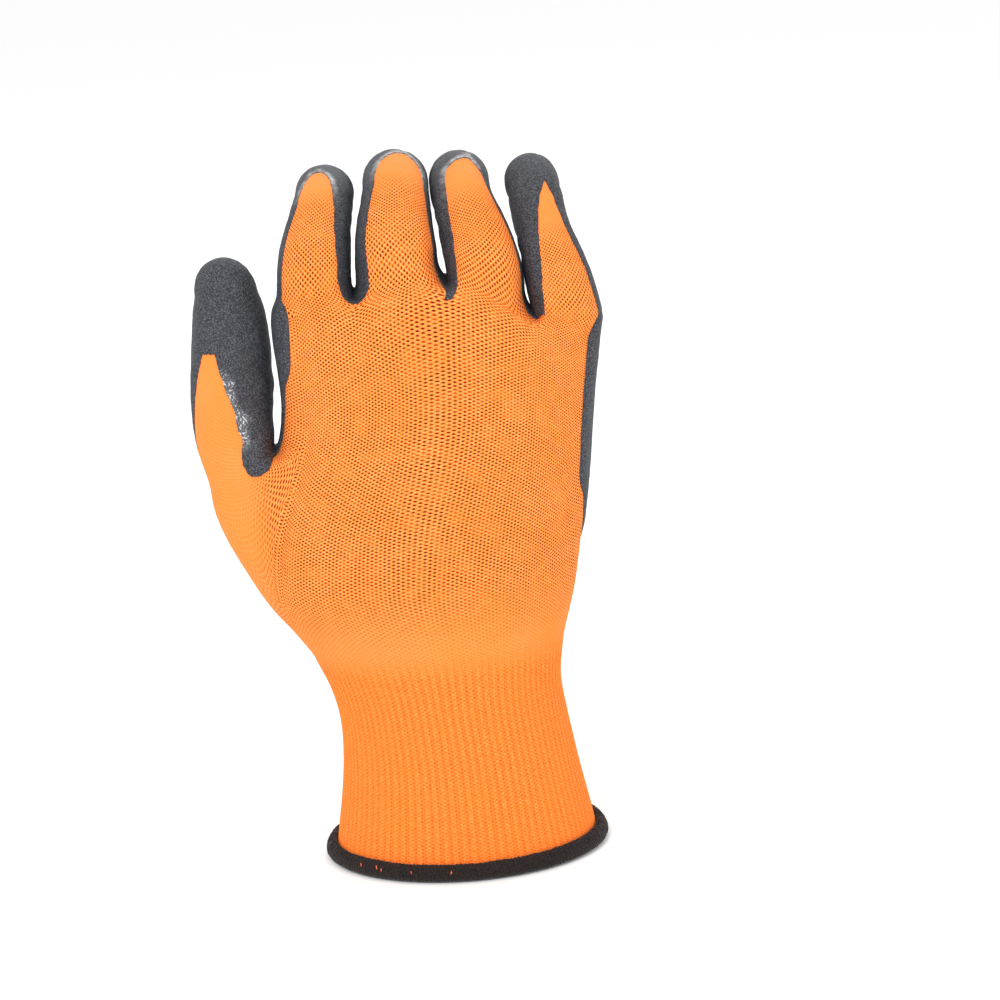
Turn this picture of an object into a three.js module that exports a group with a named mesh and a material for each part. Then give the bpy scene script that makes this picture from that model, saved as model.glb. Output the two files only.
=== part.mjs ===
// A right-hand knitted work glove with a latex-dipped palm and a bound wrist opening, held open as a hand
// fills it. Millimetres. +Z runs from the wrist opening to the fingertips, the back of the hand faces -Y and
// the thumb is on the -X side. The origin is the middle of the wrist opening, at the hem's lower edge.
import * as THREE from 'three';

const { degToRad, lerp, clamp } = THREE.MathUtils;
const smooth = (x) => THREE.MathUtils.smoothstep(x, 0, 1);

// Driving dimensions of the glove.
const cuffLength = 72; // hem's lower edge to the start of the hand
const palmLength = 114; // start of the hand to the crotches between the fingers
const palmWidth = 104; // across the knuckles
const palmDepth = 50; // back to palm at the heel of the hand
const wristWidth = 75; // narrowest part of the cuff
const wristDepth = 57;
const mouthWidth = 88; // the cuff where the hem binds it
const mouthDepth = 68;
const knitWall = 1.2;
const coatWall = 0.9;
const clearance = 0.3; // between pieces that lie on each other
const ribDepth = 0.7;
const hemHeight = 5.6;
const hemWall = 3.2; // how far the hem stands out of the cuff
const hemLip = 1.4; // how far it stands into the opening
const hemColumns = 48;

// The knit is laid in strips of columns: four down the back, one round the little finger's edge, four up the
// palm and one round the thumb's edge. Each digit has four. The cuff's ribs divide each of these columns.
const stripColumns = 4;
const handColumns = 10 * stripColumns;
const digitColumns = 4 * stripColumns;
const ribSteps = 3; // points of the cuff to a column of the hand
const columnsLeftOfMiddle = 2 * stripColumns;

// Outline of the hand at each level, from the cuff to the crotches. level is a share of palmLength, left
// and right are shares of palmWidth, back and front are shares of palmDepth. square is the outline's power,
// 2 for an ellipse.
const handSections = [
  { level: 0, left: -0.452, right: 0.355, back: -0.54, front: 0.52, square: 2.1 },
  { level: 0.09, left: -0.525, right: 0.383, back: -0.55, front: 0.53, square: 2.1 },
  { level: 0.18, left: -0.592, right: 0.409, back: -0.55, front: 0.53, square: 2.15 },
  { level: 0.28, left: -0.607, right: 0.428, back: -0.55, front: 0.52, square: 2.2 },
  { level: 0.38, left: -0.59, right: 0.443, back: -0.54, front: 0.498, square: 2.3 },
  { level: 0.49, left: -0.54, right: 0.459, back: -0.52, front: 0.465, square: 2.4 },
  { level: 0.61, left: -0.49, right: 0.474, back: -0.495, front: 0.42, square: 2.45 },
  { level: 0.73, left: -0.466, right: 0.487, back: -0.46, front: 0.38, square: 2.5 },
  { level: 0.86, left: -0.471, right: 0.505, back: -0.41, front: 0.338, square: 2.5 },
  { level: 1, left: -0.478, right: 0.522, back: -0.31, front: 0.32, square: 2.5 },
];

// Outline of the cuff above its mouth. level is a share of cuffLength, the rest shares of wristWidth and
// wristDepth.
const cuffSections = [
  { level: 0.45, left: -0.52, right: 0.505, back: -0.54, front: 0.54, square: 2 },
  { level: 0.76, left: -0.535, right: 0.465, back: -0.5, front: 0.5, square: 2 },
];
// Levels of the cuff's rings, as shares of its length, and how deep the ribs are there.
const cuffRings = [
  { level: 0.02, rib: 0 },
  { level: 0.09, rib: 0 },
  { level: 0.34, rib: 1 },
  { level: 0.7, rib: 1 },
  { level: 0.95, rib: 0.5 },
];
const fanStart = 0.6; // share of cuffLength above which the columns gather towards the fingers
const fanLength = 0.35; // share of palmLength by which they have

// Crotches, with the outer edges of the index and little fingers at the ends. across is a share of the
// palm's half width from its middle, rise a share of palmDepth.
const crotches = [
  { across: -0.86, rise: -0.04 },
  { across: -0.49, rise: 0 },
  { across: 0.09, rise: 0.04 },
  { across: 0.61, rise: -0.2 },
  { across: 0.9, rise: -0.3 },
];
const crotchArch = 0.04; // rise of a crotch's middle over its ends, as a share of palmDepth

// Pads and hollow of the palm. across and up are shares of palmWidth and palmLength, the rest of palmDepth.
const palmPads = [
  { across: -0.36, up: 0.3, spread: 0.5, height: 0.1 },
  { across: 0.22, up: 0.34, spread: 0.5, height: 0.07 },
  { across: -0.05, up: 0.6, spread: 0.4, height: -0.1 },
];

// Fingers. across places the finger's middle at the crotches. It and width are shares of palmWidth, and length
// is a share of palmLength, from the crotches to the tip along the middle of the finger. bend is the angle
// from +Z of each of the three phalanges towards the palm, lean the angle towards the little finger at each of
// leanMarks. The back stays uncoated in a tongue: turn is the tongue's middle at the base and the end, in
// degrees round the finger from its back towards the little finger, half its half angle there, and end the
// share of the length where it closes.
const fingers = [
  { name: 'index', across: -0.346, length: 0.605, width: 0.217, bend: [36, 84, 102], lean: [0, 12, 0],
    tongue: { turn: [-7, -12], half: [60, 34], end: 0.7 } },
  { name: 'middle', across: -0.083, length: 0.645, width: 0.242, bend: [40, 88, 104], lean: [-3, 4, 0],
    tongue: { turn: [12, 16], half: [62, 54], end: 0.74 } },
  { name: 'ring', across: 0.184, length: 0.64, width: 0.221, bend: [33, 80, 100], lean: [0, -14, 0],
    tongue: { turn: [12, 16], half: [64, 54], end: 0.74 } },
  { name: 'little', across: 0.433, length: 0.561, width: 0.196, bend: [22, 50, 76], lean: [-8, -14, -4],
    tongue: { turn: [8, 24], half: [60, 28], end: 0.68 } },
];
const rootLength = 0.26; // share of the length over which a finger's bend and level become its own
const rootReach = 0.4; // share of the length over which its depth does
const pastTongue = 40; // degrees of coat gained for each tongue's length beyond its end
const leanMarks = [0, 0.35, 0.65]; // shares of the length
const tipWidth = 0.78; // width at the tip's pad as a share of the finger's width
const taperLength = 0.6; // share of the length over which a finger narrows to that
// Rings of a finger as shares of the length up to the middle of the tip's dome, and the dome's in
// degrees.
const rootRing = 0.07;
const fingerRings = [rootRing, 0.17, 0.3, 0.44, 0.57, 0.7, 0.85, 1];
const domeRings = [35, 66];
const knuckles = [0.34, 0.6, 0.68, 0.9]; // shares of the length where the two joints start and end

// Sections of the thumb, which leaves the thumb's edge of the hand between two rows of its sections. across,
// front and up place the middle as shares of palmWidth, palmDepth and palmLength. tilt is the ring's angle
// from level, width and depth are shares of thumbWidth.
const thumbWidth = 0.25 * palmWidth;
const thumbRows = [2, 6]; // rows of handSections, counted from the first
const thumbSections = [
  { across: -0.605, front: 0.02, up: 0.49, tilt: 52, width: 1.18, depth: 1.2 },
  { across: -0.615, front: 0.04, up: 0.57, tilt: 38, width: 1.04, depth: 1.12 },
  { across: -0.63, front: 0.06, up: 0.645, tilt: 24, width: 1.02, depth: 1.06 },
  { across: -0.626, front: 0.08, up: 0.725, tilt: 10, width: 1, depth: 1.01 },
  { across: -0.623, front: 0.1, up: 0.81, tilt: 2, width: 0.97, depth: 0.98 },
  { across: -0.617, front: 0.12, up: 0.905, tilt: 0, width: 0.9, depth: 0.93 },
  { across: -0.616, front: 0.14, up: 0.985, tilt: 0, width: 0.82, depth: 0.84 },
  { across: -0.62, front: 0.15, up: 1.055, tilt: 0, width: 0.7, depth: 0.72 },
  { across: -0.624, front: 0.155, up: 1.105, tilt: 0, width: 0.5, depth: 0.52 },
];
const thumbShaping = 0.3; // share of its own depth that each ring of the thumb takes from the hand's
const thumbTip = 1.135; // share of palmLength
const thumbTongue = { turn: [50, 57], half: [92, 16], end: 0.63 };

// Lower edge of the coat on the palm: the level where it starts in each column, as a share of palmLength.
const coatEdge = [
  { column: 16, level: 1.06 },
  { column: 17, level: 0.42 },
  { column: 18, level: 0.28 },
  { column: 20, level: 0.13 },
  { column: 23, level: 0.06 },
  { column: 29, level: 0.05 },
  { column: 33, level: 0.1 },
  { column: 36, level: 0.24 },
  { column: 37, level: 0.34 },
  { column: 38, level: 0.5 },
  { column: 39, level: 0.8 },
  { column: 40, level: 1.08 },
];
const crotchCoat = 0.2; // how far the coat passes a crotch onto the back
// Lobe of the coat on the back below the thumb's crotch: its middle and half sizes as shares of palmWidth
// and palmLength.
const coatLobe = { across: -0.552, up: 0.62, halfWidth: 0.06, halfLength: 0.075 };
// Most that a place counts as inside the coat, which sets how the edge runs between columns.
const coatReach = 12;

const leastSlope = 0.5; // least cosine between a point's outward direction and the faces round it
const skin = { points: [], coated: [], triangles: [] };

function addPoint(point, coated) {
  skin.points.push(point);
  skin.coated.push(coated);
  return skin.points.length - 1;
}

function addQuad(a, b, c, d) {
  skin.triangles.push([a, b, c], [a, c, d]);
}

// Value of a table's column at a place along another, between its rows.
function tableValue(table, key, place, column) {
  const found = table.findIndex((row) => row[key] >= place);
  const next = Math.max(1, found < 0 ? table.length - 1 : found);
  const [before, after] = [table[next - 1], table[next]];
  const share = clamp((place - before[key]) / (after[key] - before[key]), 0, 1);
  return lerp(before[column], after[column], share);
}

function handSection(row) {
  return {
    z: cuffLength + row.level * palmLength,
    left: row.left * palmWidth,
    right: row.right * palmWidth,
    back: row.back * palmDepth,
    front: row.front * palmDepth,
    square: row.square,
  };
}

// Cuff's section at a share of its length, on smooth curves from the mouth into the hand.
function cuffSection(level) {
  const rows = [
    {
      z: 0,
      left: -mouthWidth / 2,
      right: mouthWidth / 2,
      back: -mouthDepth / 2,
      front: mouthDepth / 2,
      square: 2,
    },
    ...cuffSections.map((row) => ({
      z: row.level * cuffLength,
      left: row.left * wristWidth,
      right: row.right * wristWidth,
      back: row.back * wristDepth,
      front: row.front * wristDepth,
      square: row.square,
    })),
    handSection(handSections[0]),
    handSection(handSections[1]),
  ];
  const z = level * cuffLength;
  const section = { z };
  for (const column of ['left', 'right', 'back', 'front', 'square']) {
    const curve = new THREE.SplineCurve(rows.map((row) => new THREE.Vector2(row.z, row[column])));
    section[column] = tableValue(curve.getPoints(240), 'x', z, 'y');
  }
  return section;
}

// Turn of a column round a section, in radians from the little finger's edge over the back.
function columnTurn(column, section) {
  const turnAt = (across) => Math.acos(Math.sign(across) * Math.abs(across) ** (section.square / 2));
  const back = crotches.map((row) => turnAt(row.across));
  const keys = [...back, ...back.map((turn) => -turn).reverse(), back[0] - 2 * Math.PI];
  const strip = Math.floor(column / stripColumns);
  const inLine = lerp(keys[strip], keys[strip + 1], column / stripColumns - strip);
  const even = Math.PI / 2 - ((column - columnsLeftOfMiddle) * 2 * Math.PI) / handColumns;
  const fanFrom = fanStart * cuffLength;
  const fanTo = cuffLength + fanLength * palmLength;
  return lerp(even, inLine, smooth((section.z - fanFrom) / (fanTo - fanFrom)));
}

function sectionMiddle(section) {
  const { left, right, back, front, z } = section;
  return new THREE.Vector3((left + right) / 2, (back + front) / 2, z);
}

function outlinePoint(section, turn) {
  const reach = (value) => Math.sign(value) * Math.abs(value) ** (2 / section.square);
  return new THREE.Vector3(
    lerp(section.left, section.right, 0.5 + reach(Math.cos(turn)) / 2),
    lerp(section.front, section.back, 0.5 + reach(Math.sin(turn)) / 2),
    section.z,
  );
}

function padHeight(point) {
  let height = 0;
  for (const pad of palmPads) {
    const dx = (point.x - pad.across * palmWidth) / (pad.spread * palmDepth);
    const dz = (point.z - cuffLength - pad.up * palmLength) / (pad.spread * palmDepth);
    height += pad.height * palmDepth * Math.exp(-dx * dx - dz * dz);
  }
  return height;
}

function lobeDepth(point) {
  const dx = (point.x - coatLobe.across * palmWidth) / (coatLobe.halfWidth * palmWidth);
  const dz = (point.z - cuffLength - coatLobe.up * palmLength) / (coatLobe.halfLength * palmLength);
  return point.y < 0.2 * palmDepth ? (1 - Math.hypot(dx, dz)) * coatLobe.halfWidth * palmWidth : -palmWidth;
}

// How far inside the coat a place on the hand lies, negative outside it.
function coatOnHand(column, point) {
  const level = (point.z - cuffLength) / palmLength;
  const columnWidth = palmWidth / (4 * stripColumns);
  const lastBack = 4 * stripColumns;
  if (column > lastBack) {
    const edge = tableValue(coatEdge, 'column', column, 'level');
    return Math.min(coatReach, (level - edge) * palmLength);
  }
  const toEdge = Math.min(column, lastBack - column);
  const toCrotch = Math.abs(column - Math.round(column / stripColumns) * stripColumns);
  const onBack = -(1 + toEdge) * columnWidth;
  const overCrotch = toEdge < 2 ? -palmWidth : crotchCoat - toCrotch * columnWidth - (1 - level) * palmLength;
  return Math.max(onBack, overCrotch, lobeDepth(point));
}

// The same on a digit, where turn is in degrees from its back.
function coatOnDigit(tongue, turn, share, width) {
  const reach = share / tongue.end;
  const middle = lerp(tongue.turn[0], tongue.turn[1], Math.min(1, reach));
  const closing = Math.sqrt(1 - Math.min(1, reach) ** 4);
  const open = lerp(tongue.half[0], tongue.half[1], reach) * closing;
  const half = reach < 1 ? open : pastTongue * (1 - reach);
  const off = Math.abs(((turn - middle + 540) % 360) - 180);
  return (degToRad(off - half) * width) / 2;
}

// Joins a ring to the next one out along the hand, both with the same number of points.
function joinRings(lower, upper, last = lower.length - 1) {
  for (let i = 0; i <= last; i++) {
    const j = (i + 1) % lower.length;
    addQuad(lower[i], lower[j], upper[j], upper[i]);
  }
}

function closeTip(ring, tip) {
  ring.forEach((corner, i) => skin.triangles.push([corner, ring[(i + 1) % ring.length], tip]));
}

// Rows of the hand, open where the thumb leaves it.
function layHand() {
  const made = handSections.map((row) => {
    const section = handSection(row);
    return Array.from({ length: handColumns }, (_, column) => {
      const turn = columnTurn(column, section);
      const point = outlinePoint(section, turn);
      point.y += padHeight(point) * smooth(-1.5 * Math.sin(turn));
      const strip = column / stripColumns;
      const key = clamp(strip < 5 ? strip : 9 - strip, 0, 4);
      const k = Math.min(3, Math.floor(key));
      point.z += lerp(crotches[k].rise, crotches[k + 1].rise, key - k) * palmDepth * row.level ** 4;
      return addPoint(point, coatOnHand(column, point));
    });
  });
  const thumbColumn = handColumns - stripColumns;
  made.slice(1).forEach((row, r) => {
    const atThumb = r >= thumbRows[0] && r < thumbRows[1];
    joinRings(made[r], row, atThumb ? thumbColumn - 1 : handColumns - 1);
  });
  return made;
}

function layFingers(top) {
  const cycle = (column) => top[column % handColumns];
  const crotchLines = [1, 2, 3].map((k) => {
    const ends = [cycle(k * stripColumns), cycle((9 - k) * stripColumns)];
    const inner = Array.from({ length: stripColumns - 1 }, (_, i) => {
      const share = (i + 1) / stripColumns;
      const point = skin.points[ends[0]].clone().lerp(skin.points[ends[1]], share);
      point.z += crotchArch * palmDepth * Math.sin(Math.PI * share);
      return addPoint(point, coatWall);
    });
    return [ends[0], ...inner, ends[1]];
  });
  fingers.forEach((finger, k) => {
    const strip = (first) => Array.from({ length: stripColumns }, (_, i) => cycle(first * stripColumns + i));
    const littleSide = k < 3 ? crotchLines[k].slice(0, -1) : strip(4);
    const thumbSide = k > 0 ? crotchLines[k - 1].toReversed().slice(0, -1) : strip(9);
    layFinger(finger, [...strip(k), ...littleSide, ...strip(8 - k), ...thumbSide]);
  });
}

function layFinger(finger, root) {
  const length = finger.length * palmLength;
  const width = finger.width * palmWidth;
  const centre = new THREE.Vector3();
  root.forEach((corner) => centre.addScaledVector(skin.points[corner], 1 / root.length));
  centre.x = finger.across * palmWidth;
  const rootDepths = root.map((corner) => centre.y - skin.points[corner].y);
  const rootRises = root.map((corner) => skin.points[corner].z - centre.z);
  const direction = (share) => {
    const bend = degToRad(finger.bend[0] * smooth(share / rootLength)
      + (finger.bend[1] - finger.bend[0]) * smooth((share - knuckles[0]) / (knuckles[1] - knuckles[0]))
      + (finger.bend[2] - finger.bend[1]) * smooth((share - knuckles[2]) / (knuckles[3] - knuckles[2])));
    const k = share < leanMarks[1] ? 0 : 1;
    const leaning = smooth((share - leanMarks[k]) / (leanMarks[k + 1] - leanMarks[k]));
    const lean = degToRad(lerp(finger.lean[k], finger.lean[k + 1], leaning));
    const ahead = Math.cos(lean);
    return new THREE.Vector3(Math.sin(lean), Math.sin(bend) * ahead, Math.cos(bend) * ahead);
  };
  const tipRadius = (width * tipWidth) / 2;
  const shaft = length - tipRadius;
  const marks = fingerRings.map((share) => ({
    distance: share * shaft,
    size: lerp(1, tipWidth, smooth(share / taperLength)),
  }));
  domeRings.forEach((angle) => marks.push({
    distance: shaft + tipRadius * Math.sin(degToRad(angle)),
    size: tipWidth * Math.cos(degToRad(angle)),
  }));
  let reached = 0;
  const walk = (distance) => {
    const count = 5;
    const step = (distance - reached) / count;
    for (let i = 0; i < count; i++) {
      centre.addScaledVector(direction((reached + (i + 0.5) * step) / length), step);
    }
    reached = distance;
  };
  let ring = root;
  for (const mark of marks) {
    walk(mark.distance);
    const share = mark.distance / length;
    const along = direction(share);
    const side = new THREE.Vector3(1, 0, 0).addScaledVector(along, -along.x).normalize();
    const back = side.clone().cross(along);
    const halfWidth = (width / 2) * mark.size;
    const next = root.map((_, i) => {
      const turn = ((i - stripColumns / 2) * 360) / digitColumns;
      const depth = halfWidth * Math.cos(degToRad(turn));
      const point = centre.clone()
        .addScaledVector(side, halfWidth * Math.sin(degToRad(turn)))
        .addScaledVector(back, lerp(rootDepths[i], depth, smooth(share / rootReach)))
        .addScaledVector(along, rootRises[i] * (1 - smooth((share - rootRing) / rootLength)));
      return addPoint(point, coatOnDigit(finger.tongue, turn, share, width));
    });
    joinRings(ring, next);
    ring = next;
  }
  walk(length);
  closeTip(ring, addPoint(centre, width));
}

function layThumb(rows) {
  const [bottom, top] = thumbRows;
  const thumbColumn = handColumns - stripColumns;
  const cycle = (row, column) => rows[row][column % handColumns];
  const steps = Array.from({ length: stripColumns }, (_, i) => i);
  const root = [
    ...steps.map((i) => cycle(bottom, thumbColumn + i)),
    ...steps.map((i) => cycle(bottom + i, handColumns)),
    ...steps.map((i) => cycle(top, handColumns - i)),
    ...steps.map((i) => cycle(top - i, thumbColumn)),
  ];
  let ring = root;
  thumbSections.forEach((row, r) => {
    const tilt = degToRad(row.tilt);
    const outward = new THREE.Vector3(-Math.cos(tilt), 0, -Math.sin(tilt));
    const back = new THREE.Vector3(0, -1, 0);
    const centre = new THREE.Vector3(
      row.across * palmWidth,
      row.front * palmDepth,
      cuffLength + row.up * palmLength,
    );
    const share = (r + 1) / (thumbSections.length + 1);
    const next = root.map((_, i) => {
      const turn = ((i - stripColumns / 2) * 360) / digitColumns;
      const point = centre.clone()
        .addScaledVector(outward, ((row.width * thumbWidth) / 2) * Math.cos(degToRad(turn)))
        .addScaledVector(back, ((row.depth * thumbWidth) / 2) * Math.sin(degToRad(turn)));
      point.y = lerp(point.y, skin.points[root[i]].y, Math.max(0, 1 - (r + 1) * thumbShaping));
      return addPoint(point, Math.max(coatOnDigit(thumbTongue, turn, share, thumbWidth), lobeDepth(point)));
    });
    joinRings(ring, next);
    ring = next;
  });
  const last = thumbSections.at(-1);
  const tip = new THREE.Vector3(
    last.across * palmWidth,
    last.front * palmDepth,
    cuffLength + thumbTip * palmLength,
  );
  closeTip(ring, addPoint(tip, thumbWidth));
}

// Outward direction at each point of the skin, turned until no face at the point lies too steep to it.
function skinNormals() {
  const faces = skin.points.map(() => []);
  const sums = skin.points.map(() => new THREE.Vector3());
  for (const triangle of skin.triangles) {
    const [a, b, c] = triangle.map((corner) => skin.points[corner]);
    const normal = b.clone().sub(a).cross(c.clone().sub(a));
    triangle.forEach((corner) => sums[corner].add(normal));
    normal.normalize();
    triangle.forEach((corner) => faces[corner].push(normal));
  }
  return sums.map((sum, i) => {
    const normal = sum.normalize();
    for (let pass = 0; pass < 40; pass++) {
      const steeper = (worst, face) => (face.dot(normal) < worst.dot(normal) ? face : worst);
      const steepest = faces[i].reduce(steeper, normal);
      if (steepest.dot(normal) > leastSlope) break;
      normal.addScaledVector(steepest, 0.1).normalize();
    }
    return normal;
  });
}

function newSolid() {
  return { points: [], triangles: [] };
}

function solidPoint(solid, point) {
  solid.points.push(point);
  return solid.points.length - 1;
}

// Strip between two rings, the lower of which has steps points to one of the upper.
function solidStrip(solid, lower, upper, steps = 1, flip = false) {
  const add = (a, b, c) => solid.triangles.push(flip ? [a, c, b] : [a, b, c]);
  const turnAt = Math.ceil(steps / 2);
  upper.forEach((corner, i) => {
    const next = upper[(i + 1) % upper.length];
    for (let j = 0; j < steps; j++) {
      const from = lower[i * steps + j];
      const to = lower[(i * steps + j + 1) % lower.length];
      add(from, to, j < turnAt ? corner : next);
      if (j === turnAt - 1) add(to, next, corner);
    }
  });
}

function toMesh(name, solid, material) {
  const geometry = new THREE.BufferGeometry();
  const places = solid.points.flatMap((point) => point.toArray());
  geometry.setAttribute('position', new THREE.Float32BufferAttribute(places, 3));
  geometry.setIndex(solid.triangles.flat());
  geometry.computeVertexNormals();
  const mesh = new THREE.Mesh(geometry, material);
  mesh.name = name;
  return mesh;
}

// Ring of the cuff, with ribs when it has more points than the hand has columns.
function cuffRing(ring, count, inset) {
  const section = cuffSection(ring.level);
  const middle = sectionMiddle(section);
  return Array.from({ length: count }, (_, i) => {
    const point = outlinePoint(section, columnTurn((i * handColumns) / count, section));
    const ridge = count > handColumns && i % 2 === 0 ? ring.rib * ribDepth : 0;
    const outward = point.clone().sub(middle).normalize();
    return point.addScaledVector(outward, ridge - inset);
  });
}

function knitLiner(normals) {
  const solid = newSolid();
  const outer = skin.points.map((point) => solidPoint(solid, point));
  const inner = skin.points.map((point, i) =>
    solidPoint(solid, point.clone().addScaledVector(normals[i], -knitWall)));
  for (const [a, b, c] of skin.triangles) {
    solid.triangles.push([outer[a], outer[b], outer[c]], [inner[a], inner[c], inner[b]]);
  }
  const layRings = (count, inset) => cuffRings.map((ring) =>
    cuffRing(ring, count, inset).map((point) => solidPoint(solid, point)));
  const outside = layRings(handColumns * ribSteps, 0);
  const inside = layRings(handColumns, knitWall);
  outside.slice(1).forEach((ring, i) => solidStrip(solid, outside[i], ring));
  inside.slice(1).forEach((ring, i) => solidStrip(solid, inside[i], ring, 1, true));
  solidStrip(solid, outside.at(-1), outer.slice(0, handColumns), ribSteps);
  solidStrip(solid, inside.at(-1), inner.slice(0, handColumns), 1, true);
  solidStrip(solid, outside[0], inside[0], ribSteps, true);
  return solid;
}

// The coat: the skin's coated part between two offsets, cut along the line where the coat ends.
function latexCoat(normals) {
  const solid = newSolid();
  const made = new Map();
  const pair = (key, point, normal) => {
    if (!made.has(key)) {
      const at = (distance) => solidPoint(solid, point.clone().addScaledVector(normal, distance));
      made.set(key, { outer: at(clearance + coatWall), inner: at(clearance) });
    }
    return made.get(key);
  };
  const corner = (i) => pair(`${i}`, skin.points[i], normals[i]);
  const crossing = (a, b) => {
    const [from, to] = a < b ? [a, b] : [b, a];
    const share = clamp(skin.coated[from] / (skin.coated[from] - skin.coated[to]), 0.08, 0.92);
    const point = skin.points[from].clone().lerp(skin.points[to], share);
    const normal = normals[from].clone().lerp(normals[to], share).normalize();
    return pair(`${from}-${to}`, point, normal);
  };
  const isCoated = (i) => skin.coated[i] > 0;
  for (const triangle of skin.triangles) {
    const outline = [];
    triangle.forEach((from, i) => {
      const to = triangle[(i + 1) % 3];
      if (isCoated(from)) outline.push({ ...corner(from), cut: false });
      if (isCoated(from) !== isCoated(to)) outline.push({ ...crossing(from, to), cut: true });
    });
    for (let i = 2; i < outline.length; i++) {
      const [a, b, c] = [outline[0], outline[i - 1], outline[i]];
      solid.triangles.push([a.outer, b.outer, c.outer], [a.inner, c.inner, b.inner]);
    }
    outline.forEach((a, i) => {
      const b = outline[(i + 1) % outline.length];
      if (a.cut && b.cut) solid.triangles.push([b.outer, a.outer, a.inner], [b.outer, a.inner, b.inner]);
    });
  }
  return solid;
}

// The hem: a rounded channel that straddles the cuff's lower edge.
function cuffHem() {
  const solid = newSolid();
  const rim = cuffRings[0].level * cuffLength - clearance;
  const wide = hemWall + clearance;
  const inside = knitWall + clearance;
  // Section of the channel: out is the distance outwards from the cuff's face, up the height.
  const profile = [
    { out: clearance, up: rim },
    { out: clearance, up: hemHeight },
    { out: 0.5 * wide, up: 1.03 * hemHeight },
    { out: 0.95 * wide, up: 0.75 * hemHeight },
    { out: wide, up: 0.4 * hemHeight },
    { out: 0.6 * wide, up: 0.06 * hemHeight },
    { out: -0.3 * inside, up: 0 },
    { out: -inside - 0.8 * hemLip, up: 0.12 * hemHeight },
    { out: -inside - hemLip, up: 0.5 * hemHeight },
    { out: -inside, up: 0.85 * hemHeight },
    { out: -inside, up: rim },
  ];
  const rings = profile.map((corner) => {
    const section = cuffSection(corner.up / cuffLength);
    const middle = sectionMiddle(section);
    return Array.from({ length: hemColumns }, (_, i) => {
      const point = outlinePoint(section, (-2 * Math.PI * i) / hemColumns);
      const outward = point.clone().sub(middle).normalize();
      return solidPoint(solid, point.addScaledVector(outward, corner.out));
    });
  });
  rings.forEach((ring, i) => solidStrip(solid, rings[(i + 1) % rings.length], ring));
  return solid;
}

const rows = layHand();
layFingers(rows.at(-1));
layThumb(rows);
const normals = skinNormals();

const knit = new THREE.MeshStandardMaterial({ color: '#f58634', roughness: 0.85, metalness: 0 });
const latex = new THREE.MeshStandardMaterial({ color: '#26272b', roughness: 0.6, metalness: 0 });
const binding = new THREE.MeshStandardMaterial({ color: '#1f2023', roughness: 0.9, metalness: 0 });

const glove = new THREE.Group();
glove.name = 'grip_glove';
glove.add(toMesh('knit_liner', knitLiner(normals), knit));
glove.add(toMesh('latex_coating', latexCoat(normals), latex));
glove.add(toMesh('cuff_hem', cuffHem(), binding));

export default glove;
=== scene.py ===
import math
import random
from types import SimpleNamespace

import bmesh
import bpy
import numpy as np
from mathutils import Matrix, Vector, noise


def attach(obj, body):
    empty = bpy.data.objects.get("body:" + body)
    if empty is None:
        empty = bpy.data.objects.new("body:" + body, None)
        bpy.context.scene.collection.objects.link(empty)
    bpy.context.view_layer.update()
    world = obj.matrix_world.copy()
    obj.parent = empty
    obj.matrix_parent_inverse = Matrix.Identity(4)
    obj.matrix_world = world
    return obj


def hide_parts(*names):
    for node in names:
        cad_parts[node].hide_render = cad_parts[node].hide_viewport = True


# A right-hand knitted work glove with a crinkled latex palm, a ribbed cuff and an overlocked hem, held open as a
# worn one. Metres. +Z runs to the fingertips, the back of the hand faces -Y and the thumb is on the -X side.
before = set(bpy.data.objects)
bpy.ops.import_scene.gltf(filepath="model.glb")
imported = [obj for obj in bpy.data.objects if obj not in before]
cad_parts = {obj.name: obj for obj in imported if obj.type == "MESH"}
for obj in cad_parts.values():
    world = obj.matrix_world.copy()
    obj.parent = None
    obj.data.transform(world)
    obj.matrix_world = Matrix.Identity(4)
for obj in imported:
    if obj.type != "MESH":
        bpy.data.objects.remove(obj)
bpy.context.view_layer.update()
mm = 0.001

# Sizes of the glove, as in the solids.
cuff_length = 72 * mm
palm_length = 114 * mm
palm_width = 104 * mm
palm_depth = 50 * mm
wrist_width = 75 * mm
wrist_depth = 57 * mm
mouth_width = 88 * mm
mouth_depth = 68 * mm
knit_wall = 1.2 * mm
coat_wall = 0.9 * mm  # the coat's full thickness over the knit
coat_feather = 0.3 * mm  # its thickness at its edge
hem_height = 5.6 * mm
hem_wall = 3.2 * mm
hem_lip = 1.4 * mm

# The cage's columns: four to a strip, with four strips down the back, one round the little finger's edge, four up
# the palm and one round the thumb's edge.
strip_columns = 4
hand_columns = 10 * strip_columns
digit_columns = 4 * strip_columns
columns_left_of_middle = 2 * strip_columns

# Knit: wales and ribs to a column of the cage, and the height of a course.
wales = 5.5
ribs = 2.2
course = 1.15 * mm
rib_depth = 0.14 * mm


def table(columns, *rows):
    """Rows of a table as objects with the named columns."""
    return [SimpleNamespace(**dict(zip(columns.split(), row))) for row in rows]


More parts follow.
